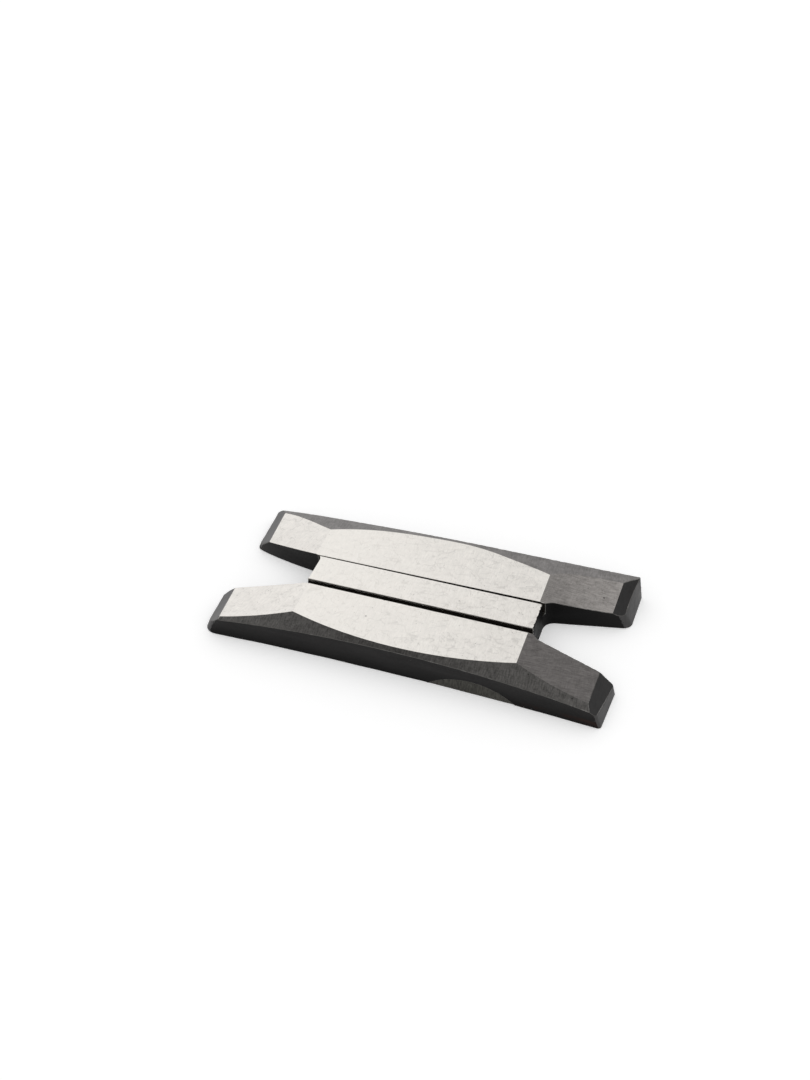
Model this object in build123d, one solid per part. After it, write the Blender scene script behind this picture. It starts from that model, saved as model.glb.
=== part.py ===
from build123d import *
from dataclasses import dataclass
from math import cos, radians, sin, tan
import os

# One solid steel block, forged and then ground by hand. Two long bars lie side by side and a
# short web joins them. The web carries a narrow strip that stands between two saw cuts.
# X runs along the bars, Y across them and Z up. The sizes are taken from the middle of the strip
# and the flat underside, and the finished block is then centred on its own box. Lengths are in
# millimetres and angles in degrees.

# Heights above the underside
BAR_HEIGHT = 31.2             # the ground flat on each bar
STRIP_RISE = 1.8              # the strip's top above the bars' flats

# The strip and the web under it
STRIP_WIDTH = 37.0
CUT_DEPTH = 14.0              # of the saw cuts beside the strip, below the bars' flats
WEB_LENGTH = 241.0            # at the underside
WEB_LEAN = 5.2                # its end walls lean back from their feet

# The bars' outer sides
HALF_WIDTH = 97.5             # centre line to an outer side, near a bar's ends
NEAR_HOLLOW = 7.0             # less than that halfway along
FAR_HOLLOW = 6.0

# The shallow ground patch low on the near bar's outer side
PATCH_X = 77.0                # its middle, along the bar
PATCH_RADIUS = 71.0           # of its arched top
PATCH_HEIGHT = 15.5
PATCH_LEAN = 4.0              # it faces up a little
PATCH_TURN = 1.6              # it follows the hollow side
PATCH_DEPTH = 0.3             # at the underside

# The worn edge round the underside
FOOT_WEAR = 0.8


@dataclass
class BarEnd:
    """One of the four bar ends. They were ground by hand, so each is a little different.

    A pair of values holds at the bar's inner side, beside the notch, and at its outer side.
    """

    x: int                    # 1 at the right, -1 at the left
    y: int                    # 1 on the far bar, -1 on the near one
    cut: float                # width of the saw cut where it comes out
    root: float               # centre line to the inner side, at the web's end
    root_radius: float        # between the web's end wall and the inner side
    splay: float              # the inner side opens outwards
    draft: float              # the inner side leans over the notch
    flare: float              # the outer side stands this far beyond HALF_WIDTH
    crease: float             # middle of the block to the top of the slope
    shoulder: tuple           # middle of the block to the foot of the slope
    height: tuple             # of the slope's foot above the underside
    chamfer: tuple            # fall of the end chamfer below the slope
    foot: tuple               # middle of the block to the foot of the end face
    lean: tuple               # the end face leans back from its foot
    corner: tuple             # radii of the end's upright corners


@dataclass
class Relief:
    """One station of the long relief that is ground along a bar's outer top edge."""

    place: float              # -1 at the block's left end, 1 at its right end
    edge: float               # its height at HALF_WIDTH, above the underside
    fall: float               # outwards


NEAR_RIGHT = BarEnd(
    x=1, y=-1, cut=5.3, root=27.6, root_radius=13.0, splay=12.5, draft=0.0, flare=1.5,
    crease=114.0, shoulder=(190.0, 188.0), height=(19.8, 21.4), chamfer=(34.0, 34.0),
    foot=(208.0, 204.0), lean=(16.0, 23.0), corner=(3.0, 4.0))
FAR_RIGHT = BarEnd(
    x=1, y=1, cut=5.0, root=27.6, root_radius=13.0, splay=12.5, draft=0.0, flare=1.5,
    crease=114.0, shoulder=(185.0, 188.5), height=(19.8, 32.0), chamfer=(28.0, 18.0),
    foot=(205.0, 206.5), lean=(28.0, 8.0), corner=(10.0, 1.5))
NEAR_LEFT = BarEnd(
    x=-1, y=-1, cut=4.6, root=25.6, root_radius=10.0, splay=14.7, draft=4.0, flare=-3.0,
    crease=114.5, shoulder=(189.0, 185.0), height=(20.0, 21.6), chamfer=(32.0, 42.0),
    foot=(205.0, 203.0), lean=(22.0, 22.0), corner=(6.0, 12.0))
FAR_LEFT = BarEnd(
    x=-1, y=1, cut=3.2, root=25.6, root_radius=10.0, splay=14.7, draft=8.0, flare=1.0,
    crease=125.5, shoulder=(187.0, 188.5), height=(17.4, 21.5), chamfer=(40.0, 36.0),
    foot=(204.0, 204.5), lean=(22.0, 18.0), corner=(6.0, 2.0))
BAR_ENDS = [NEAR_RIGHT, FAR_RIGHT, NEAR_LEFT, FAR_LEFT]

NEAR_RELIEF = [
    Relief(-1.0, 16.1, 11.3), Relief(-0.5, 25.7, 11.3), Relief(0.0, 28.6, 11.3),
    Relief(0.5, 25.7, 11.3), Relief(1.0, 16.1, 11.3)]
FAR_RELIEF = [
    Relief(-1.0, 14.5, 15.5), Relief(-0.75, 20.4, 15.3), Relief(-0.5, 24.4, 14.6),
    Relief(-0.25, 27.3, 15.0), Relief(0.0, 29.7, 8.0), Relief(0.25, 30.3, 3.4),
    Relief(0.5, 29.4, 3.6), Relief(0.75, 28.0, 3.5), Relief(1.0, 26.2, 3.3)]

STRIP_TOP = BAR_HEIGHT + STRIP_RISE
CUT_FLOOR = BAR_HEIGHT - CUT_DEPTH
HALF_LENGTH = max(max(end.foot) for end in BAR_ENDS) + BAR_HEIGHT / 4
REACH = 4 * HALF_LENGTH


def beyond(point, normal):
    """All that lies on the outer side of a plane."""
    block = Box(REACH, REACH, REACH, align=(Align.CENTER, Align.CENTER, Align.MIN))
    return Plane(origin=point, z_dir=normal) * block


def one_bar(side):
    """All that lies on one bar's side of the saw cuts' inner halves."""
    block = Box(REACH, REACH, REACH, align=(Align.CENTER, Align.MIN, Align.CENTER))
    narrowest = min(end.cut for end in BAR_ENDS)
    far = Pos(0, (STRIP_WIDTH + narrowest) / 2, 0) * block
    return far if side > 0 else mirror(far, about=Plane.XZ)


def outer_reach(end):
    """Centre line to a bar's outer side, at one of its ends."""
    return HALF_WIDTH + end.flare


def outer_side(left, right, hollow):
    """The hollow outline of a bar's outer side, as one arc from end to end."""
    return ThreePointArc(
        (-HALF_LENGTH, left.y * outer_reach(left)), (0, left.y * (HALF_WIDTH - hollow)),
        (HALF_LENGTH, right.y * outer_reach(right)))


def blank():
    """The forging from above, drawn up to the strip's top."""
    near = outer_side(NEAR_LEFT, NEAR_RIGHT, NEAR_HOLLOW)
    far = outer_side(FAR_LEFT, FAR_RIGHT, FAR_HOLLOW)
    outline = Curve() + [near, Line(near @ 1, far @ 1), far, Line(far @ 0, near @ 0)]
    return extrude(make_face(outline), amount=STRIP_TOP)


def inner_side(end, x):
    """Centre line to a bar's inner side, at a distance from the middle of the block."""
    return end.root + (x - WEB_LENGTH / 2) * tan(radians(end.splay))


def rises_through(edge, height):
    """Whether an edge climbs nearly the whole of a height."""
    return edge.bounding_box().size.Z > 0.9 * height


def notch(near, far):
    """The space between two bar ends, with leaning walls and round corners at its root."""
    root = WEB_LENGTH / 2
    back = root - STRIP_TOP
    mouth = 2 * HALF_LENGTH
    plan = Polygon(
        (near.x * back, -inner_side(near, back)), (near.x * mouth, -inner_side(near, mouth)),
        (far.x * mouth, inner_side(far, mouth)), (far.x * back, inner_side(far, back)), align=None)
    lean = radians(WEB_LEAN)
    wedge = extrude(plan, amount=STRIP_TOP, dir=(0, 0, 1))
    wedge -= beyond((near.x * root, 0, 0), (-near.x * cos(lean), 0, -sin(lean)))
    for end in (near, far):
        if end.draft > 0:
            splay = radians(end.splay)
            draft = radians(end.draft)
            outwards = (-end.x * sin(splay) * cos(draft), end.y * cos(splay) * cos(draft), sin(draft))
            wedge -= beyond((end.x * root, end.y * end.root, 0), outwards)
        uprights = wedge.edges().filter_by(
            lambda edge: rises_through(edge, STRIP_TOP) and end.y * edge.center().Y > 0)
        corner = uprights.sort_by(lambda edge: abs(edge.center().X))[0]
        wedge = fillet(corner, end.root_radius)
    return wedge


def twisted(lower, upper, outwards):
    """A ruled solid that starts at two slanting lines and runs outwards from both."""
    sections = []
    for line in (lower, upper):
        first, second = Vector(line[0]), Vector(line[1])
        sections.append(Wire.make_polygon([first, second, second + outwards, first + outwards]))
    return Part() + Solid.make_loft(sections, ruled=True)


def end_waste(end):
    """What is ground off a bar end's face, more at its top."""
    reach = inner_side(end, end.foot[0])
    lines = []
    for height in (-BAR_HEIGHT, 2 * BAR_HEIGHT):
        inner = end.foot[0] - height * tan(radians(end.lean[0]))
        outer = end.foot[1] - height * tan(radians(end.lean[1]))
        per_width = (outer - inner) / (outer_reach(end) - reach)
        at_centre = inner - per_width * reach
        at_far_out = at_centre + per_width * 2 * HALF_WIDTH
        lines.append((
            (end.x * at_centre, 0, height), (end.x * at_far_out, end.y * 2 * HALF_WIDTH, height)))
    return twisted(lines[0], lines[1], Vector(end.x * REACH, 0, 0)) & one_bar(end.y)


def trim_end(block, end):
    """Cut a bar end to its leaning face and round its two upright corners."""
    block -= end_waste(end)
    for place, radius in ((0, end.corner[0]), (-1, end.corner[1])):
        uprights = block.edges().filter_by(
            lambda edge: rises_through(edge, STRIP_TOP)
            and end.x * edge.center().X > max(end.shoulder)
            and end.y * edge.center().Y > 0)
        block = fillet(uprights.sort_by(lambda edge: abs(edge.center().Y))[place], radius)
    return block


def shoulder_point(end, across):
    """A point on the line between a bar end's slope and its chamfer, some way across."""
    inner = inner_side(end, end.shoulder[0])
    part = (across - inner) / (outer_reach(end) - inner)
    along = end.shoulder[0] + part * (end.shoulder[1] - end.shoulder[0])
    height = end.height[0] + part * (end.height[1] - end.height[0])
    return Vector(end.x * along, end.y * across, height)


def slope_waste(end):
    """What is ground off a bar end's top: a long slope, twisted between its two sides."""
    lines = []
    for share in (0.0, 1.3):
        points = []
        for across in (0.0, 2 * HALF_WIDTH):
            crease = Vector(end.x * end.crease, end.y * across, BAR_HEIGHT)
            points.append(crease + (shoulder_point(end, across) - crease) * share)
        lines.append(points)
    return twisted(lines[0], lines[1], Vector(0, 0, REACH)) & one_bar(end.y)


def chamfer_waste(end):
    """What is ground off a bar end below its slope, also twisted."""
    across = (inner_side(end, end.shoulder[0]), outer_reach(end))
    run = HALF_WIDTH
    shoulder = []
    below = []
    for place, fall in zip(across, end.chamfer):
        point = shoulder_point(end, place)
        shoulder.append(point)
        below.append(point + Vector(end.x * run, 0, -run * tan(radians(fall))))
    lines = []
    for inner, outer in (shoulder, below):
        lines.append((inner - (outer - inner) / 2, outer + (outer - inner) / 2))
    return twisted(lines[0], lines[1], Vector(0, 0, REACH))


def relief_waste(side, stations):
    """What is ground off a bar's outer top edge, by one smooth surface through its stations."""
    sections = []
    inner = STRIP_WIDTH / 2
    sky = Vector(0, 0, REACH)
    for station in stations:
        grade = tan(radians(station.fall))
        along = station.place * HALF_LENGTH
        high = Vector(along, side * inner, station.edge + (HALF_WIDTH - inner) * grade)
        low = Vector(along, side * 2 * HALF_WIDTH, station.edge - HALF_WIDTH * grade)
        sections.append(Wire.make_polygon([high, low, low + sky, high + sky]))
    return Part() + Solid.make_loft(sections)


def saw_cut(left, right):
    """A slot beside the strip, open at both ends and a little wider at one of them."""
    edge = STRIP_WIDTH / 2
    out = REACH / 2
    widening = (right.cut - left.cut) / WEB_LENGTH
    middle = (right.cut + left.cut) / 2
    plan = Polygon(
        (-out, left.y * edge), (out, left.y * edge),
        (out, left.y * (edge + middle + out * widening)),
        (-out, left.y * (edge + middle - out * widening)), align=None)
    return Pos(0, 0, CUT_FLOOR) * extrude(plan, amount=BAR_HEIGHT, dir=(0, 0, 1))


def patch_waste():
    """The flat that a wheel left low on the near side, arched at its top."""
    disc = Cylinder(PATCH_RADIUS, HALF_WIDTH, align=(Align.CENTER, Align.CENTER, Align.MIN))
    disc = Pos(0, 0, PATCH_HEIGHT - PATCH_RADIUS) * (Rot(90, 0, 0) * disc)
    sight = Line((PATCH_X, -2 * HALF_WIDTH), (PATCH_X, 0))
    side = outer_side(NEAR_LEFT, NEAR_RIGHT, NEAR_HOLLOW).intersect(sight)[0].Y
    return Pos(PATCH_X, side + PATCH_DEPTH, 0) * (Rot(-PATCH_LEAN, 0, -PATCH_TURN) * disc)


def scraper_body():
    """The whole block."""
    block = blank() - notch(NEAR_RIGHT, FAR_RIGHT) - notch(NEAR_LEFT, FAR_LEFT)
    for end in BAR_ENDS:
        block = trim_end(block, end)
    block -= saw_cut(NEAR_LEFT, NEAR_RIGHT)
    block -= saw_cut(FAR_LEFT, FAR_RIGHT)
    for side, stations in ((-1, NEAR_RELIEF), (1, FAR_RELIEF)):
        block -= beyond((0, 0, BAR_HEIGHT), (0, 0, 1)) & one_bar(side)
        block -= relief_waste(side, stations)
    for end in BAR_ENDS:
        block -= slope_waste(end)
        block -= chamfer_waste(end)
    block -= patch_waste()
    block = chamfer(block.edges().group_by(Axis.Z)[0], FOOT_WEAR)
    middle = block.bounding_box().center()
    return Pos(-middle.X, -middle.Y, 0) * block


os.makedirs("parts", exist_ok=True)
export_step(scraper_body(), "parts/scraper_body.step")
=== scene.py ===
# A forged and ground steel scraper cutter in one piece, with its stage
from math import cos, radians, sin

import bmesh
import bpy
from bpy.props import FloatProperty, FloatVectorProperty, IntProperty, PointerProperty
from bpy.types import Operator, Panel, PropertyGroup
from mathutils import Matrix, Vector, noise


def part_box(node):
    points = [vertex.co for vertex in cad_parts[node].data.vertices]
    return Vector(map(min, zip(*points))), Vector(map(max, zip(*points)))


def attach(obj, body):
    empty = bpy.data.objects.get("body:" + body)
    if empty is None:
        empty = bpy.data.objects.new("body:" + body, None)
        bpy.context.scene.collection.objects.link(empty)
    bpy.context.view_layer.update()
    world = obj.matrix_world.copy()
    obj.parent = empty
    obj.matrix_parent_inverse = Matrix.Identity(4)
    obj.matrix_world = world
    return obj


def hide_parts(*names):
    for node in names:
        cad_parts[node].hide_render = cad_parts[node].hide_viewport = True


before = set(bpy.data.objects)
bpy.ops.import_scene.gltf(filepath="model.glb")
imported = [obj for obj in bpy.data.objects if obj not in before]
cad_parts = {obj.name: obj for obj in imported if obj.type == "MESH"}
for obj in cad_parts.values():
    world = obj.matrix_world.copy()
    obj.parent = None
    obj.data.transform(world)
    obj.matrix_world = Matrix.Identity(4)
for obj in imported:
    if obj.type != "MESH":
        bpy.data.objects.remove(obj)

bl_info = {
    "name": "Scraper cutter",
    "version": (1, 0, 0),
    "blender": (4, 5, 0),
    "location": "3D View > Sidebar > Scraper",
    "description": "A one-piece steel scraper cutter, ground by hand, on a pale floor",
    "category": "Add Mesh",
}

MM = 0.001
BODY = "scraper_body"

# The strip's middle, seen from the middle of the block's box
STRIP_MIDDLE = Vector((-1.4, -0.2))

# Places on the block, in millimetres from the strip's middle and above the underside
CUT_FLOOR = 17.2
CUT_REACH = 24.2
CUT_HALF_LENGTH = 121.5
BAR_INNER = 43.0
BAR_OUTER = 98.0
PATCH_MIDDLE = 77.0
PATCH_HALF_LENGTH = 46.0
STRIP_SIDE = 18.5

# The strip's side is ground bright above a line, which lies lower at the left end than at the right
BRIGHT_LEFT = Vector((-121.0, 0.0, 29.8))
BRIGHT_RIGHT = Vector((110.0, 0.0, 31.6))

# The foot of the far left bar swells between the web and the tip, up to this height
SWELL_START = 122.0
SWELL_END = 205.0
SWELL_HEIGHT = 17.0

# Edges sharper than the first are worn round, and edges between finishes down to the second are crisp
WORN_ANGLE = radians(20)
CREASE_ANGLE = radians(1.5)

# Where each slope ends, at the bar's inner and outer side, by the signs of x and y
SLOPE_ENDS = {
    (1, -1): (190.0, 188.0),
    (1, 1): (185.0, 188.5),
    (-1, -1): (189.0, 185.0),
    (-1, 1): (187.0, 188.5),
}

# The finishes in the order of the block's material slots
FINISHES = [
    "top", "left_slope", "far_slope", "near_slope", "near_relief", "far_relief",
    "left_chamfer", "right_chamfer", "end_face", "patch", "forged_side", "notch_wall", "saw_cut",
    "worn_edge",
]


class BlockSettings(PropertyGroup):
    """Sizes of the block's worn surface."""

    edge_wear: FloatProperty(
        name="Edge wear", description="Width of the worn edge between two faces",
        default=0.45 * MM, unit="LENGTH", precision=5)
    strip_wear: FloatProperty(
        name="Strip end wear", description="Depth of the nicks at the strip's right end",
        default=1.0 * MM, unit="LENGTH", precision=5)
    cell: FloatProperty(
        name="Cell", description="Spacing of the cuts that let the surface be uneven",
        default=2.0 * MM, unit="LENGTH", precision=5)
    unevenness: FloatProperty(
        name="Unevenness", description="Depth of the hollows that hand grinding leaves",
        default=0.10 * MM, unit="LENGTH", precision=5)
    forging: FloatProperty(
        name="Forged skin", description="Depth of the hollows in the forged sides",
        default=0.35 * MM, unit="LENGTH", precision=5)
    nicks: FloatProperty(
        name="Nicks", description="Depth of the nicks along the worn edges",
        default=0.30 * MM, unit="LENGTH", precision=5)
    swell: FloatProperty(
        name="Swell", description="How far the far left bar's foot swells into the notch",
        default=4.0 * MM, unit="LENGTH", precision=5)
    seed: IntProperty(
        name="Seed", description="Which of the random surfaces is made", default=3, min=0)


def colour(name, description, value):
    """A colour setting with its default."""
    return FloatVectorProperty(
        name=name, description=description, default=value, subtype="COLOR", min=0.0, max=1.0)


class FinishSettings(PropertyGroup):
    """Colours of the block's finishes. The ground faces are all one steel, whose colour carries painted
    light on the tops and left slopes and painted shade on the other ground faces.
    """

    # Painted light: the tops and left slopes are the ground steel made light for the light they catch
    top: colour("Tops", "Ground flats and strip", (0.87, 0.84, 0.795))
    left_slope: colour("Left slopes", "Ground slopes at the left", (0.84, 0.81, 0.77))
    # Painted shade: the right slopes, the reliefs, the chamfers, the end faces and the patch are that same
    # ground steel made darker for the shade they lie in
    far_slope: colour("Far right slope", "Brushed slope, far bar", (0.31, 0.293, 0.28))
    near_slope: colour("Near right slope", "Brushed slope, near bar", (0.165, 0.155, 0.150))
    near_relief: colour("Near relief", "Coarse ground relief, near bar", (0.098, 0.094, 0.090))
    far_relief: colour("Far relief", "Coarse ground relief, far bar", (0.25, 0.24, 0.235))
    left_chamfer: colour("Left chamfers", "End chamfers at the left", (0.14, 0.137, 0.138))
    right_chamfer: colour("Right chamfers", "End chamfers at the right", (0.042, 0.041, 0.041))
    end_face: colour("End faces", "Sawn and ground ends", (0.065, 0.063, 0.063))
    patch: colour("Patch", "Ground patch low on the near side", (0.062, 0.060, 0.054))
    # The forged skin and the notch walls are one dark scale; their levels are partly that scale and partly
    # painted shade
    forged: colour("Forged skin", "Dark skin of the sides and the underside", (0.0125, 0.012, 0.012))
    wall: colour("Notch walls", "Dark skin of the notches' walls", (0.027, 0.026, 0.026))
    scorch: colour("Scorch", "Reddish tint in the forged skin", (0.065, 0.020, 0.010))
    saw_cut: colour("Saw cuts", "Walls and floor of the saw cuts", (0.012, 0.010, 0.008))
    worn_edge: colour("Worn edges", "Steel that shows along the edges", (0.24, 0.235, 0.225))


class StageSettings(PropertyGroup):
    """Camera, lamps and floor."""

    azimuth: FloatProperty(
        name="Azimuth", description="Camera's turn to the right of the near side",
        default=radians(18.55), unit="ROTATION")
    elevation: FloatProperty(
        name="Elevation", description="Camera's angle above the floor",
        default=radians(39.03), unit="ROTATION")
    distance: FloatProperty(
        name="Distance", description="From the camera to what it looks at",
        default=1.422, unit="LENGTH")
    aim: FloatVectorProperty(
        name="Aim", description="The point that the camera looks at",
        default=(-0.05849, 0.10963, 0.0), subtype="TRANSLATION")
    lens: FloatProperty(
        name="Lens", description="Focal length in millimetres", default=43.3, min=1.0)
    floor: colour("Floor", "The pale floor", (0.9, 0.9, 0.9))
    floor_lift: FloatProperty(
        name="Floor lift", description="Brings the lit floor up to white in the picture",
        default=0.3, min=0.0, max=1.0)
    sky: FloatProperty(
        name="Sky", description="Level of the light from all round", default=0.78, min=0.0)
    key: FloatProperty(
        name="Key lamp", description="Power of the large lamp behind the block, in watts",
        default=2.1, min=0.0)
    fill: FloatProperty(
        name="Fill lamp", description="Power of the large lamp in front of the block, in watts",
        default=1.5, min=0.0)


class Value:
    """A shader socket. An expression on it adds Math nodes."""

    def __init__(self, finish, socket):
        self.finish = finish
        self.socket = socket

    def maths(self, operation, first, second=0.0, clamp=False):
        settings = {"operation": operation, "use_clamp": clamp}
        return self.finish.node("ShaderNodeMath", settings, {0: first, 1: second})

    def __add__(self, other):
        return self.maths("ADD", self, other)

    def __radd__(self, other):
        return self.maths("ADD", other, self)

    def __sub__(self, other):
        return self.maths("SUBTRACT", self, other)

    def __rsub__(self, other):
        return self.maths("SUBTRACT", other, self)

    def __mul__(self, other):
        return self.maths("MULTIPLY", self, other)

    def __rmul__(self, other):
        return self.maths("MULTIPLY", other, self)

    def __truediv__(self, other):
        return self.maths("DIVIDE", self, other)

    def __gt__(self, other):
        return self.maths("GREATER_THAN", self, other)

    def __lt__(self, other):
        return self.maths("LESS_THAN", self, other)

    def __abs__(self):
        return self.maths("ABSOLUTE", self)

    def clipped(self):
        """The value, kept between 0 and 1."""
        return self.maths("ADD", self, 0.0, clamp=True)

    def between(self, low, high):
        """0 below the one level and 1 above the other, with an even rise."""
        return ((self - low) / (high - low)).clipped()


class Finish:
    """A material in the making. Lengths in its patterns are in millimetres."""

    def __init__(self, name):
        self.material = bpy.data.materials.new(name)
        self.material.use_nodes = True
        self.tree = self.material.node_tree
        self.tree.nodes.clear()
        place = self.node("ShaderNodeTexCoord", output="Object")
        self.place = self.node(
            "ShaderNodeVectorMath", {"operation": "MULTIPLY"}, {0: place, 1: (1 / MM,) * 3})

    def node(self, kind, settings=None, inputs=None, output=0):
        """Any node: its type, its settings, the values or links of its sockets."""
        made = self.tree.nodes.new(kind)
        for name, value in (settings or {}).items():
            setattr(made, name, value)
        for name, value in (inputs or {}).items():
            if isinstance(value, Value):
                self.tree.links.new(value.socket, made.inputs[name])
            else:
                made.inputs[name].default_value = value
        return Value(self, made.outputs[output]) if made.outputs else None

    def stretched(self, size, turn=0.0, shift=(0.0, 0.0, 0.0)):
        """Coordinates in which a mark of this size, turned about Z, is one unit long."""
        return self.node(
            "ShaderNodeMapping", {"vector_type": "TEXTURE"},
            {"Vector": self.place, "Location": shift, "Rotation": (0.0, 0.0, radians(turn)), "Scale": size})

    def cloud(self, size, turn=0.0, shift=(0.0, 0.0, 0.0), detail=3.0, roughness=0.55):
        """Soft noise from 0 to 1 with marks of a size."""
        return self.node(
            "ShaderNodeTexNoise", {"noise_dimensions": "3D"},
            {"Vector": self.stretched(size, turn, shift), "Scale": 1.0, "Detail": detail,
             "Roughness": roughness})

    def specks(self, spacing, size, share, shift=(0.0, 0.0, 0.0)):
        """Small round marks: one in each cell of this spacing, in a share of the cells."""
        cells = self.tree.nodes.new("ShaderNodeTexVoronoi")
        cells.feature = "F1"
        cells.inputs["Scale"].default_value = 1.0
        self.tree.links.new(self.stretched((spacing,) * 3, 0.0, shift).socket, cells.inputs["Vector"])
        reach = Value(self, cells.outputs["Distance"]) * spacing
        pick = self.node("ShaderNodeSeparateColor", None, {0: Value(self, cells.outputs["Color"])})
        return (1 - reach.between(size * 0.45, size * 0.6)) * (pick < share)

    def scratches(self, size, turn, share, shift=(0.0, 0.0, 0.0)):
        """Thin wandering lines, in a share of the surface."""
        course = self.cloud((size * 2.0, size, size), turn, shift, detail=1.5)
        places = self.cloud((size * 1.3,) * 3, turn, (shift[1] + 9.0, shift[0], 5.0), detail=2.0)
        line = 1 - abs(course - 0.5).between(0.006, 0.028)
        return line * places.between(0.66 - share * 0.4, 0.76 - share * 0.4)

    def along(self, axis):
        """One coordinate from the strip's middle, in millimetres."""
        shift = STRIP_MIDDLE[axis] if axis < 2 else 0.0
        return self.node("ShaderNodeSeparateXYZ", None, {0: self.place}, output=axis) - shift

    def mixed(self, share, first, second):
        """A colour between two colours."""
        return self.node(
            "ShaderNodeMix", {"data_type": "RGBA"}, {0: share, 6: first, 7: second}, output=2)

    def scaled(self, base, level):
        """A colour made lighter or darker by a value."""
        level = self.node("ShaderNodeCombineColor", None, {0: level, 1: level, 2: level})
        return self.node(
            "ShaderNodeMix", {"data_type": "RGBA", "blend_type": "MULTIPLY"},
            {0: 1.0, 6: base, 7: level}, output=2)

    def finished(self, base, roughness, metallic, relief=None, depth=0.02, gloss=0.5):
        """Join the shader to the output, with relief as a bump this many millimetres deep."""
        inputs = {
            "Base Color": base, "Roughness": roughness, "Metallic": metallic,
            "Specular IOR Level": gloss}
        if relief is not None:
            inputs["Normal"] = self.node(
                "ShaderNodeBump", None, {"Height": relief, "Distance": depth * MM, "Strength": 1.0})
        shader = self.node("ShaderNodeBsdfPrincipled", None, inputs)
        self.node("ShaderNodeOutputMaterial", None, {"Surface": shader})
        return self.material


def rgba(values):
    """A colour setting as the four numbers a socket takes."""
    return (values[0], values[1], values[2], 1.0)


def ground(name, base, turn=90.0, length=14.0, width=1.3, marks=0.5, mottle=0.4, pitting=0.1,
           scratched=0.0, roughness=0.38, depth=0.02, wear=None, shade=None):
    """Ground steel: marks along the grinding and a few across it, soft mottling and small dark pits.

    Wear says from the finish's coordinates how strong the marks are, and shade how much painted light and
    shade lies across the steel.
    """
    finish = Finish(name)
    strength = wear(finish) if wear else 1.0
    fine = finish.cloud((length, width * 0.4, length), turn, detail=2.0) - 0.5
    broad = finish.cloud((length * 0.7, width, length), turn + 3, (7.0, 3.0, 0.0), detail=2.0) - 0.5
    crossed = finish.cloud((length * 0.5, width, length), turn + 86, (2.0, 9.0, 0.0), detail=2.0) - 0.5
    cloud = finish.cloud((13.0, 9.0, 9.0), 20.0, detail=4.0, roughness=0.6) - 0.5
    grain = fine * 0.6 + broad + crossed * 0.5
    pits = finish.specks(9.0, 1.9, pitting) + finish.specks(3.7, 1.1, pitting, (31.0, 17.0, 5.0)) * 0.6
    lines = 0.0
    if scratched:
        large = finish.scratches(11.0, 15.0, scratched)
        small = finish.scratches(7.0, -50.0, scratched, (40.0, 5.0, 0.0))
        lines = (large + small).clipped()
    dirt = (pits * 0.45 + lines * 0.14) * strength
    level = (1 + (grain * marks + cloud * mottle) * strength) * (1 - dirt)
    # Painted light and shade across the steel, where a shade is given
    if shade:
        level = level * shade(finish)
    rough = (roughness + fine * 0.25 + cloud * 0.15 + pits * 0.2).clipped()
    relief = fine * 0.6 + broad * 0.6 - pits * 1.5 - lines * 0.6
    return finish.finished(finish.scaled(rgba(base), level), rough, 1.0, relief, depth)


def forged(name, base, scorch, share=0.5, shade=None):
    """Forged skin: dark scale with soft blotches and a little reddish tint."""
    finish = Finish(name)
    blotches = finish.cloud((36.0, 14.0, 7.0), 0.0, detail=4.0) - 0.5
    grain = finish.cloud((2.2, 1.6, 1.6), 0.0, detail=3.0) - 0.5
    specks = finish.specks(5.5, 0.9, 0.10, (3.0, 8.0, 2.0))
    level = 1 + blotches * 0.9 + grain * 0.7
    # Painted shade across the skin, where a shade is given
    if shade:
        level = level * shade(finish)
    tint = finish.cloud((40.0, 30.0, 10.0), 0.0, (12.0, 40.0, 0.0)).between(0.42, 0.62) * share
    tint = tint * finish.along(0).between(60.0, 150.0) * (1 - finish.along(2).between(2.0, 9.0))
    skin = finish.mixed(tint, rgba(base), rgba(scorch))
    skin = finish.mixed(specks * 0.5, finish.scaled(skin, level), (0.11, 0.105, 0.10, 1.0))
    rough = (0.50 + grain * 0.3 + blotches * 0.3).clipped()
    return finish.finished(skin, rough, 0.0, grain * 0.5 + blotches, 0.12, gloss=0.08)


def sawn(name, base):
    """The saw cuts: almost black, with a few bright specks of swarf."""
    finish = Finish(name)
    marks = finish.cloud((30.0, 0.5, 0.5), 0.0, detail=2.0)
    specks = finish.specks(4.2, 1.3, 0.10) * finish.cloud((40.0, 40.0, 40.0)).between(0.45, 0.6)
    shade = finish.scaled(rgba(base), 0.6 + marks * 0.9)
    return finish.finished(
        finish.mixed(specks, shade, (0.42, 0.37, 0.30, 1.0)), 0.5, 0.0, marks, 0.02, gloss=0.15)


def worn(name, base, dark):
    """Worn edges: steel shows in places, and the rest is as dark as the faces beside it."""
    finish = Finish(name)
    along = finish.cloud((9.0, 9.0, 9.0), detail=3.0).between(0.46, 0.64)
    bright = finish.cloud((1.6, 1.6, 1.6), detail=2.0).between(0.40, 0.62) * along
    right = 0.3 + 0.7 * finish.along(0).between(-60.0, 120.0)
    return finish.finished(finish.mixed(bright * right, rgba(dark), rgba(base)), 0.4, 1.0, bright, 0.02)


def top_wear(finish):
    """The tops' marks are faint at the left and plain at the right."""
    return 0.45 + 0.55 * finish.along(0).between(-130.0, 40.0)


def painted_side_shade(finish):
    """Painted shade: the forged sides darken towards the foot."""
    return 0.30 + 1.5 * finish.along(2).between(1.0, 19.0)


def wall_scale_and_painted_shade(finish):
    """The notches' walls darken towards the web, and more at the right: partly dark scale, and partly
    painted shade for the shade that falls there.
    """
    out = abs(finish.along(0)).between(122.0, 196.0)
    left = 1 - 0.72 * finish.along(0).between(-60.0, 60.0)
    return (0.22 + 1.1 * out) * left


def painted_far_slope_light(finish):
    """Painted light: the far right slope is lighter low down towards its end."""
    return 0.86 + 0.34 * finish.along(0).between(125.0, 190.0)


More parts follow.
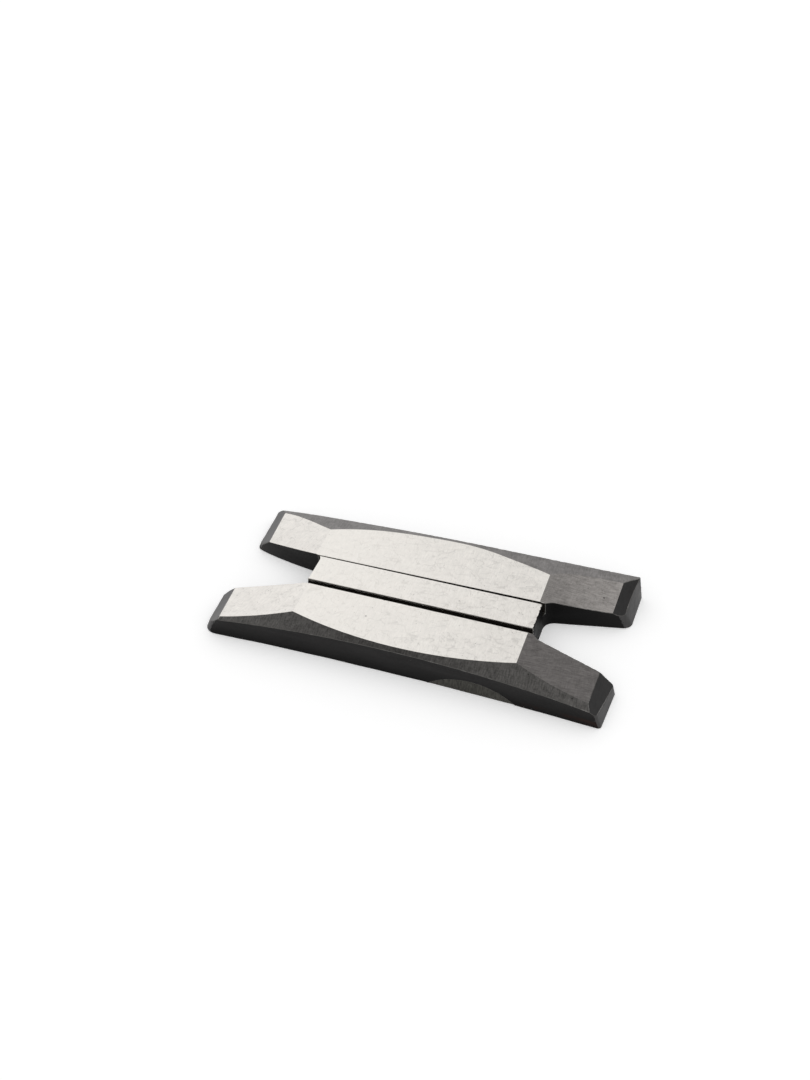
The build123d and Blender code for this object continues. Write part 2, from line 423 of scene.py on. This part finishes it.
def painted_near_relief_shade(finish):
    """Painted shade: the near relief is darkest a little left of the middle, and lightest at both ends."""
    return 0.62 + 0.42 * abs(finish.along(0) + 12.0).between(10.0, 130.0)


def make_finishes(settings):
    """All the block's materials by name."""
    return {
        "top": ground(
            "ground_top", settings.top, length=9.0, width=1.5, marks=0.26, mottle=0.24,
            pitting=0.10, scratched=0.5, wear=top_wear),
        "left_slope": ground(
            "ground_left_slope", settings.left_slope, turn=70.0, length=9.0, width=1.5, marks=0.25,
            mottle=0.30, pitting=0.06, scratched=0.4, roughness=0.40),
        "far_slope": ground(
            "ground_far_slope", settings.far_slope, turn=-3.0, length=11.0, width=1.2, marks=0.95,
            mottle=0.6, pitting=0.10, scratched=0.5, roughness=0.42, shade=painted_far_slope_light),
        "near_slope": ground(
            "ground_near_slope", settings.near_slope, turn=6.0, length=13.0, width=1.3, marks=1.0,
            mottle=0.5, pitting=0.06, scratched=0.4, roughness=0.42),
        "near_relief": ground(
            "ground_near_relief", settings.near_relief, length=9.0, width=1.4, marks=1.3,
            mottle=0.8, pitting=0.16, scratched=0.4, roughness=0.46, depth=0.04,
            shade=painted_near_relief_shade),
        "far_relief": ground(
            "ground_far_relief", settings.far_relief, length=9.0, width=1.6, marks=0.75,
            mottle=0.8, pitting=0.06, scratched=0.2, roughness=0.46, depth=0.03),
        "left_chamfer": ground(
            "ground_left_chamfer", settings.left_chamfer, marks=0.45, mottle=0.4, pitting=0.0,
            roughness=0.44),
        "right_chamfer": ground(
            "ground_right_chamfer", settings.right_chamfer, marks=0.4, mottle=0.5,
            pitting=0.0, roughness=0.46),
        "end_face": ground(
            "ground_end_face", settings.end_face, marks=0.5, mottle=0.4, pitting=0.0,
            roughness=0.48),
        "patch": ground(
            "ground_patch", settings.patch, marks=1.4, mottle=1.0, width=1.5, length=6.0,
            pitting=0.2, scratched=0.4, roughness=0.5, depth=0.05),
        "forged_side": forged("forged_side", settings.forged, settings.scorch, 0.8, painted_side_shade),
        "notch_wall": forged("notch_wall", settings.wall, settings.scorch, 0.1, wall_scale_and_painted_shade),
        "saw_cut": sawn("saw_cut", settings.saw_cut),
        "worn_edge": worn("worn_edge", settings.worn_edge, settings.near_relief),
    }


def finish_of(centre, normal):
    """Which finish a face has, by its place in millimetres and the way it faces."""
    x = centre.x / MM - STRIP_MIDDLE.x
    y = centre.y / MM - STRIP_MIDDLE.y
    z = centre.z / MM
    right = 1 if x > 0 else -1
    far = 1 if y > 0 else -1
    if normal.z < -0.3:
        return "forged_side"
    if abs(y) < CUT_REACH and abs(x) < CUT_HALF_LENGTH and abs(normal.x) < 0.3:
        if abs(normal.y) > 0.7 or z < CUT_FLOOR + 1.0:
            return "saw_cut"
    inner, outer = SLOPE_ENDS[(right, far)]
    across = (abs(y) - BAR_INNER) / (BAR_OUTER - BAR_INNER)
    slope_end = inner + across * (outer - inner)
    if normal.z > 0.62:
        if abs(x) > slope_end and normal.x * right > 0.2:
            return "left_chamfer" if right < 0 else "right_chamfer"
        if normal.z > 0.9997:
            return "top"
        if normal.y * far > 0.03:
            return "far_relief" if far > 0 else "near_relief"
        if right < 0:
            return "left_slope"
        return "far_slope" if far > 0 else "near_slope"
    if abs(x) > 180.0 and normal.x * right > 0.45:
        return "end_face"
    if far < 0 and normal.y < -0.8 and normal.z > 0.03 and abs(x - PATCH_MIDDLE) < PATCH_HALF_LENGTH:
        return "patch"
    if normal.y * far > 0.4:
        return "forged_side"
    return "notch_wall"


def select_only(piece):
    """Make a piece the only selected object and the active one."""
    bpy.ops.object.select_all(action="DESELECT")
    piece.select_set(True)
    bpy.context.view_layer.objects.active = piece


def copy_body():
    """A copy of the CAD body's mesh, whole again, as a piece of its own."""
    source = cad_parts[BODY]
    piece = bpy.data.objects.new("scraper_block", source.data.copy())
    bpy.context.scene.collection.objects.link(piece)
    piece.data.materials.clear()
    select_only(piece)
    bpy.ops.object.mode_set(mode="EDIT")
    bpy.ops.mesh.select_all(action="SELECT")
    bpy.ops.mesh.remove_doubles(threshold=0.002 * MM)
    bpy.ops.mesh.customdata_custom_splitnormals_clear()
    bpy.ops.object.mode_set(mode="OBJECT")
    return piece


def sort_faces(piece, finishes):
    """Give each face its finish, then join the triangles of flat faces."""
    for name in FINISHES:
        piece.data.materials.append(finishes[name])
    for face in piece.data.polygons:
        face.material_index = FINISHES.index(finish_of(face.center, face.normal))
    bpy.ops.object.mode_set(mode="EDIT")
    bpy.ops.mesh.select_all(action="SELECT")
    bpy.ops.mesh.dissolve_limited(angle_limit=radians(0.05), delimit={"MATERIAL"})
    bpy.ops.object.mode_set(mode="OBJECT")


def shortest(vertex):
    """The length of the shortest edge at a vertex."""
    return min(edge.calc_length() for edge in vertex.link_edges)


def wear_edges(piece, width):
    """A narrow round along every sharp edge, which tapers where the edges are short."""
    mesh = bmesh.new()
    mesh.from_mesh(piece.data)
    weight = mesh.edges.layers.float.new("bevel_weight_edge")
    sharp = []
    for edge in mesh.edges:
        angle = edge.calc_face_angle()
        finishes = {face.material_index for face in edge.link_faces}
        if angle > WORN_ANGLE and max(vertex.co.z for vertex in edge.verts) > 1.0 * MM:
            sharp.append(edge)
        elif angle > CREASE_ANGLE and len(finishes) > 1:
            edge.smooth = False
    for edge in sharp[:]:
        for vertex in list(edge.verts):
            if shortest(vertex) < 2.5 * width and edge.calc_length() > 8 * width:
                made, _ = bmesh.utils.edge_split(edge, vertex, 3 * width / edge.calc_length())
                sharp.append(made)
    for edge in sharp:
        room = 0.4 * min(shortest(vertex) for vertex in edge.verts)
        edge[weight] = min(1.0, room / width)
    mesh.to_mesh(piece.data)
    mesh.free()
    rounding = piece.modifiers.new("edge_wear", "BEVEL")
    rounding.width = width
    rounding.segments = 2
    rounding.material = FINISHES.index("worn_edge")
    rounding.limit_method = "WEIGHT"
    rounding.use_clamp_overlap = False
    bpy.ops.object.modifier_apply(modifier=rounding.name)


def select_faces(piece, wanted):
    """Select the faces that a test picks, and leave the piece in edit mode."""
    bpy.ops.object.mode_set(mode="EDIT")
    bpy.ops.mesh.select_mode(type="FACE")
    bpy.ops.mesh.select_all(action="DESELECT")
    bpy.ops.object.mode_set(mode="OBJECT")
    for face in piece.data.polygons:
        face.select = wanted(face)
    bpy.ops.object.mode_set(mode="EDIT")


def brighten_strip_sides(piece):
    """Both sides of the strip are ground bright down to a line that slants along the cut."""
    def on_side(face):
        inside = abs(abs(face.center.y / MM - STRIP_MIDDLE.y) - STRIP_SIDE) < 0.8
        return inside and abs(face.normal.y) > 0.9 and face.center.z > CUT_FLOOR * MM

    along = BRIGHT_RIGHT - BRIGHT_LEFT
    upwards = Vector((-along.z, 0.0, along.x)).normalized()
    select_faces(piece, on_side)
    bpy.ops.mesh.bisect(plane_co=BRIGHT_LEFT * MM, plane_no=upwards)
    bpy.ops.object.mode_set(mode="OBJECT")
    for face in piece.data.polygons:
        if on_side(face) and (face.center - BRIGHT_LEFT * MM).dot(upwards) > 0.0:
            face.material_index = FINISHES.index("top")


def match_bright_edges(piece):
    """A worn edge beside a bright face is as bright as that face."""
    mesh = bmesh.new()
    mesh.from_mesh(piece.data)
    worn_edge = FINISHES.index("worn_edge")
    bright = {FINISHES.index("top"), FINISHES.index("left_slope")}
    for _ in range(2):
        found = {}
        for face in mesh.faces:
            if face.material_index == worn_edge:
                beside = {other.material_index for edge in face.edges for other in edge.link_faces}
                if beside & bright:
                    found[face] = min(beside & bright)
        for face, finish in found.items():
            face.material_index = finish
    mesh.to_mesh(piece.data)
    mesh.free()


def cut_across(piece, wanted, low, high, spacing, axis):
    """Cut the wanted faces by planes across an axis. A cut leaves only its own line selected."""
    normal = [0.0, 0.0, 0.0]
    normal[axis] = 1.0
    count = int((high - low) / spacing)
    for number in range(1, count):
        place = [0.0, 0.0, 0.0]
        place[axis] = low + (number + 0.013) * (high - low) / count
        select_faces(piece, wanted)
        bpy.ops.mesh.bisect(plane_co=place, plane_no=normal)


def cut_into_cells(piece, cell):
    """Divide the faces by planes across all three axes, and more finely at the strip's right end."""
    low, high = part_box(BODY)
    for axis in range(3):
        cut_across(piece, lambda face: True, low[axis], high[axis], cell, axis)
    bpy.ops.object.mode_set(mode="OBJECT")
    end = max(vertex.co.x for vertex in piece.data.vertices if vertex.co.z > 32.9 * MM)
    side = STRIP_SIDE * MM

    def at_end(face):
        return abs(face.center.x - end) < 5.0 * MM and abs(face.center.y) < side and face.center.z > 24 * MM

    for axis, start, stop in ((0, end - 5.0 * MM, end + 3.0 * MM), (1, -side, side), (2, 24 * MM, high[2])):
        cut_across(piece, at_end, start, stop, 0.9 * MM, axis)
    bpy.ops.object.mode_set(mode="OBJECT")
    return end


def rough(place, size, seed):
    """Noise from 0 to 1 with hollows of a size, in millimetres."""
    shifted = Vector((place.x / size[0], place.y / size[1], place.z / size[2])) + Vector((seed, 0.37, 0.71))
    return min(1.0, max(0.0, noise.noise(shifted) + 0.5))


def make_uneven(piece, settings, end):
    """Sink the surface a little, as grinding, forging and knocks leave it."""
    mesh = bmesh.new()
    mesh.from_mesh(piece.data)
    mesh.normal_update()
    low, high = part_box(BODY)
    skin = {FINISHES.index(name) for name in ("forged_side", "notch_wall")}
    worn_edge = FINISHES.index("worn_edge")
    moves = {}
    for vertex in mesh.verts:
        place = vertex.co / MM
        finishes = {face.material_index for face in vertex.link_faces}
        depth = settings.unevenness * rough(place, (19.0, 15.0, 12.0), settings.seed)
        if finishes <= skin:
            depth += settings.forging * rough(place, (32.0, 16.0, 9.0), settings.seed + 5)
        if worn_edge in finishes:
            depth += settings.nicks * max(0.0, rough(place, (3.1, 3.1, 3.1), settings.seed + 9) - 0.55) * 2
        move = vertex.normal * -depth
        knock = 1 - abs(vertex.co.x - end) / (2.6 * MM)
        if knock > 0 and abs(place.y - STRIP_MIDDLE.y) < STRIP_SIDE + 0.6 and place.z > 29.0:
            hit = rough(place, (2.6, 2.3, 9.0), settings.seed + 14)
            move += Vector((-0.8, 0.0, -0.7)) * settings.strip_wear * knock * max(0.0, hit - 0.35) * 1.8
        far_left = -(place.x - STRIP_MIDDLE.x) - SWELL_START
        share = far_left / (SWELL_END - SWELL_START)
        low_down = place.y > 0 and place.z < SWELL_HEIGHT
        if 0 < share < 1 and low_down and finishes & skin and vertex.normal.y < -0.2:
            bulge = 3.08 * share ** 1.5 * (1 - share) ** 0.5 * (1 - place.z / SWELL_HEIGHT)
            move.y -= settings.swell * bulge
        moves[vertex] = move
    for vertex, move in moves.items():
        for axis in range(3):
            vertex.co[axis] = min(high[axis], max(low[axis], vertex.co[axis] + move[axis]))
    mesh.to_mesh(piece.data)
    mesh.free()


class SCRAPER_OT_block(Operator):
    """Make the block from a copy of the CAD body"""

    bl_idname = "scraper.block"
    bl_label = "Block"

    def execute(self, context):
        settings = context.scene.scraper_block
        finishes = make_finishes(context.scene.scraper_finish)
        piece = copy_body()
        sort_faces(piece, finishes)
        brighten_strip_sides(piece)
        wear_edges(piece, settings.edge_wear)
        match_bright_edges(piece)
        end = cut_into_cells(piece, settings.cell)
        make_uneven(piece, settings, end)
        bpy.ops.object.shade_smooth_by_angle(angle=radians(32))
        flats = piece.modifiers.new("flats", "WEIGHTED_NORMAL")
        flats.keep_sharp = True
        bpy.ops.object.modifier_apply(modifier=flats.name)
        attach(piece, "root")
        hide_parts(BODY)
        return {"FINISHED"}


def add_lamp(name, place, aim, size, power):
    """A large soft lamp turned towards a point."""
    data = bpy.data.lights.new(name, "AREA")
    data.shape = "RECTANGLE"
    data.size, data.size_y = size
    data.energy = power
    lamp = bpy.data.objects.new(name, data)
    bpy.context.scene.collection.objects.link(lamp)
    lamp.location = place
    lamp.rotation_euler = (Vector(aim) - Vector(place)).to_track_quat("-Z", "Y").to_euler()


def floor_material(tint, lift):
    """A pale floor that comes out white in the picture, and keeps the block's shadow."""
    finish = Finish("floor")
    rays = finish.tree.nodes.new("ShaderNodeLightPath")
    seen = Value(finish, rays.outputs["Is Camera Ray"])
    for name in ("Is Glossy Ray", "Is Transmission Ray"):
        seen = seen.maths("MAXIMUM", seen, Value(finish, rays.outputs[name]))
    matt = finish.node("ShaderNodeBsdfDiffuse", None, {"Color": rgba(tint)})
    glow = finish.node("ShaderNodeEmission", None, {"Color": (1, 1, 1, 1), "Strength": seen * lift})
    both = finish.node("ShaderNodeAddShader", None, {0: matt, 1: glow})
    finish.node("ShaderNodeOutputMaterial", None, {"Surface": both})
    return finish.material


class SCRAPER_OT_stage(Operator):
    """Make the floor, the lamps and the camera"""

    bl_idname = "scraper.stage"
    bl_label = "Stage"

    def execute(self, context):
        settings = context.scene.scraper_stage
        bpy.ops.object.select_all(action="DESELECT")
        bpy.ops.mesh.primitive_plane_add(size=16.0, location=(0.0, 0.0, 0.0))
        floor = context.active_object
        floor.name = "floor"
        floor.data.materials.append(floor_material(settings.floor, settings.floor_lift))

        world = bpy.data.worlds.new("studio")
        context.scene.world = world
        world.use_nodes = True
        sky = world.node_tree.nodes["Background"]
        sky.inputs["Color"].default_value = (1.0, 1.0, 1.0, 1.0)
        sky.inputs["Strength"].default_value = settings.sky

        add_lamp("key", (-1.2, 1.65, 1.65), (0.0, 0.0, 0.0), (1.5, 1.4), settings.key)
        add_lamp("fill", (0.6, -1.6, 2.4), (0.0, 0.0, 0.0), (1.6, 1.6), settings.fill)

        flat = cos(settings.elevation)
        back = Vector((
            sin(settings.azimuth) * flat, -cos(settings.azimuth) * flat, sin(settings.elevation)))
        data = bpy.data.cameras.new("camera")
        data.sensor_width = 36.0
        data.lens = settings.lens
        camera = bpy.data.objects.new("camera", data)
        context.scene.collection.objects.link(camera)
        camera.location = Vector(settings.aim) + back * settings.distance
        camera.rotation_euler = (-back).to_track_quat("-Z", "Y").to_euler()
        context.scene.camera = camera
        context.scene.view_settings.view_transform = "Standard"
        return {"FINISHED"}


class SCRAPER_PT_panel(Panel):
    """The steps, in the order in which they are run"""

    bl_idname = "SCRAPER_PT_panel"
    bl_label = "Scraper cutter"
    bl_space_type = "VIEW_3D"
    bl_region_type = "UI"
    bl_category = "Scraper"

    def draw(self, context):
        self.layout.operator("scraper.block")
        self.layout.operator("scraper.stage")


CLASSES = (
    BlockSettings, FinishSettings, StageSettings, SCRAPER_OT_block, SCRAPER_OT_stage,
    SCRAPER_PT_panel)


def register():
    for cls in CLASSES:
        bpy.utils.register_class(cls)
    bpy.types.Scene.scraper_block = PointerProperty(type=BlockSettings)
    bpy.types.Scene.scraper_finish = PointerProperty(type=FinishSettings)
    bpy.types.Scene.scraper_stage = PointerProperty(type=StageSettings)


def unregister():
    del bpy.types.Scene.scraper_stage
    del bpy.types.Scene.scraper_finish
    del bpy.types.Scene.scraper_block
    for cls in reversed(CLASSES):
        bpy.utils.unregister_class(cls)


def main():
    """Run every step."""
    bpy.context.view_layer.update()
    register()
    bpy.ops.scraper.block()
    bpy.ops.scraper.stage()


if __name__ == "__main__":
    main()
